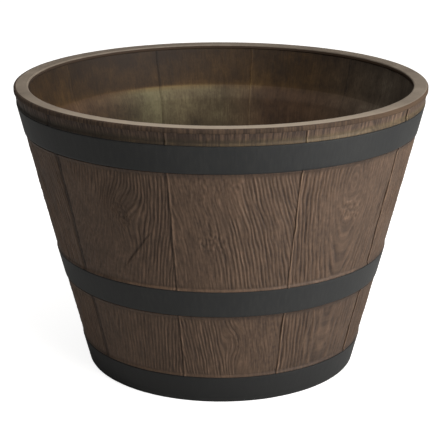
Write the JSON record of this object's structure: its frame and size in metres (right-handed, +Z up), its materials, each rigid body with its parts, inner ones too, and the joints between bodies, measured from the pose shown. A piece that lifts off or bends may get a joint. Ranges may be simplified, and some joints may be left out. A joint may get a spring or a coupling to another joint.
{
  "type": "barrel planter",
  "caption": "Round tapered half-barrel planter with wood-effect staves, dark hoops, a smooth rim cap, and a floor with drain holes closed by pull-out plugs.",
  "frame": {"origin": "on the ground, at the middle of the round base", "axes": "+Z up along the planter's axis, -Y towards the pictured front, +X to the front's right-hand side"},
  "size_m": [0.5194, 0.5197, 0.365],
  "materials": {
    "stave_resin": "brown resin with moulded, rubbed-in wood grain, matte to satin",
    "rim_resin": "smooth tan-grey resin, rubbed lighter, satin",
    "hoop_resin": "charcoal painted bands with a faint hammered texture, satin",
    "floor_resin": "brown resin, matte, fine pits",
    "plug_rubber": "black moulded rubber, matte"
  },
  "bodies": {
    "planter": {"stave_01": "stave_resin", "stave_02": "stave_resin", "stave_03": "stave_resin", "stave_04": "stave_resin", "stave_05": "stave_resin", "stave_06": "stave_resin", "stave_07": "stave_resin", "stave_08": "stave_resin", "stave_09": "stave_resin", "stave_10": "stave_resin", "rim_cap": "rim_resin", "upper_hoop": "hoop_resin", "middle_hoop": "hoop_resin", "base_hoop": "hoop_resin", "floor": "floor_resin"},
    "front_right_plug": {"drain_plug_1": "plug_rubber"},
    "back_right_plug": {"drain_plug_2": "plug_rubber"},
    "back_left_plug": {"drain_plug_3": "plug_rubber"},
    "front_left_plug": {"drain_plug_4": "plug_rubber"}
  },
  "joints": [
    {"name": "front_right_plug_lift", "type": "slide", "parent": "planter", "child": "front_right_plug", "axis": [0, 0, 1], "range_m": [0, 0.03]},
    {"name": "back_right_plug_lift", "type": "slide", "parent": "planter", "child": "back_right_plug", "axis": [0, 0, 1], "range_m": [0, 0.03]},
    {"name": "back_left_plug_lift", "type": "slide", "parent": "planter", "child": "back_left_plug", "axis": [0, 0, 1], "range_m": [0, 0.03]},
    {"name": "front_left_plug_lift", "type": "slide", "parent": "planter", "child": "front_left_plug", "axis": [0, 0, 1], "range_m": [0, 0.03]}
  ]
}
